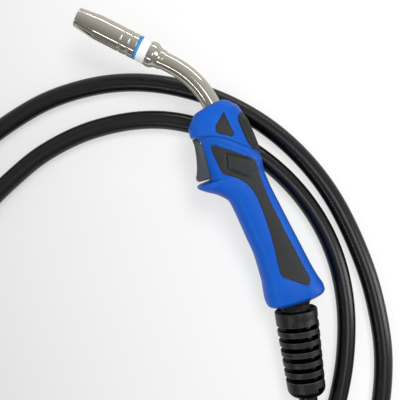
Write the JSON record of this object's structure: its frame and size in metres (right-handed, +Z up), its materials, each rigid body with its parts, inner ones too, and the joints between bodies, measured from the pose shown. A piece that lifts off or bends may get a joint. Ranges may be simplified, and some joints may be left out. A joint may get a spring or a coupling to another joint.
{
  "type": "mig welding torch",
  "caption": "MIG welding torch: conical gas nozzle, swan neck, pistol handle with trigger, swivelling slotted cable support, coiled cable and central connector with hand nut.",
  "frame": {"origin": "on the table under the middle of the torch's outline, the cable and connector left out", "axes": "+Z up from the table, +Y from the butt to the nozzle along the handle, +X towards the handle's spine"},
  "size_m": [0.502, 0.5116, 0.0614],
  "materials": {
    "nickel_plate": "satin nickel plate",
    "spring_steel": "bright steel",
    "seal_blue": "matte blue",
    "insulator_white": "matte white",
    "copper": "turned copper",
    "brass": "turned brass",
    "insulation": "matte",
    "shell_blue": "satin moulded",
    "soft_grip": "fine-grained matte",
    "plate_black": "smooth",
    "soft_pad": "fine-grained matte",
    "trigger_grey": "fine-grained",
    "black_plastic": "satin moulded",
    "plunger_red": "smooth",
    "wire_red": "smooth",
    "cable_rubber": "matte, drawn lengthwise",
    "support_black": "satin moulded"
  },
  "bodies": {
    "torch": {"nozzle_spring": "spring_steel", "seal_ring": "seal_blue", "insulator_ring": "insulator_white", "contact_tip": "copper", "tip_holder": "brass", "neck_collar": "nickel_plate", "neck_tube": "nickel_plate", "neck_insulation": "insulation", "neck_conductor": "copper", "wire_liner": "spring_steel", "neck_fitting": "brass", "handle_left": "shell_blue", "handle_right": "shell_blue", "grip_inlay_left": "soft_grip", "grip_inlay_right": "soft_grip", "name_plate": "plate_black", "thumb_pad": "soft_pad", "trigger_pin": "spring_steel", "switch_body": "black_plastic", "switch_terminals": "brass", "switch_wires": "wire_red", "handle_screws": "spring_steel", "cable_nut": "brass", "cable_terminal": "brass", "cable_inner": "cable_rubber", "cable_loops": "cable_rubber", "connector_boot": "support_black", "connector_shell_upper": "black_plastic", "connector_shell_lower": "black_plastic", "connector_screws": "spring_steel", "connector_body": "brass", "spigot_oring": "cable_rubber", "liner_nut": "brass"},
    "nozzle": {"gas_nozzle": "nickel_plate"},
    "trigger": {"trigger": "trigger_grey"},
    "plunger": {"switch_plunger": "plunger_red"},
    "swivel": {"ball_joint": "black_plastic", "cable_lead": "cable_rubber"},
    "support": {"strain_relief": "support_black"},
    "hand_nut": {"hand_nut": "black_plastic"},
    "control_pin_1": {"control_pin_1": "brass"},
    "control_pin_2": {"control_pin_2": "brass"}
  },
  "joints": [
    {"name": "nozzle_pull", "type": "slide", "parent": "torch", "child": "nozzle", "axis": [-0.7242, 0.6854, 0.0759], "range_m": [0, 0.022]},
    {"name": "trigger_pull", "type": "hinge", "parent": "torch", "child": "trigger", "pos_m": [0.00415, 0.05138, 0.03853], "axis": [0, -0.11, 0.9939], "range_deg": [0, 5.5], "stiffness_Nm_per_rad": 0.4, "springref_deg": -2.86},
    {"name": "plunger_slide", "type": "slide", "parent": "torch", "child": "plunger", "axis": [1, 0, 0], "range_m": [0, 0.0014]},
    {"name": "swivel_tilt", "type": "hinge", "parent": "torch", "child": "swivel", "pos_m": [0.04175, -0.09324, 0.02252], "axis": [1, 0, 0], "range_deg": [-5, 10], "deforming": ["cable_lead"]},
    {"name": "support_spin", "type": "hinge", "parent": "swivel", "child": "support", "pos_m": [0.04175, -0.09324, 0.02252], "axis": [-0.1561, -0.9853, -0.07], "continuous": true},
    {"name": "hand_nut_spin", "type": "hinge", "parent": "torch", "child": "hand_nut", "pos_m": [-0.29013, -0.22006, 0.023], "axis": [-0.6233, 0.7819, 0], "continuous": true},
    {"name": "control_pin_1_push", "type": "slide", "parent": "torch", "child": "control_pin_1", "axis": [0.6233, -0.7819, 0], "range_m": [0, 0.002], "stiffness_N_per_m": 1500, "springref_m": -0.001},
    {"name": "control_pin_2_push", "type": "slide", "parent": "torch", "child": "control_pin_2", "axis": [0.6233, -0.7819, 0], "range_m": [0, 0.002], "stiffness_N_per_m": 1500, "springref_m": -0.001}
  ],
  "couplings": [
    {"joint": "plunger_slide", "follows": "trigger_pull", "m_per_rad": 0.014}
  ]
}
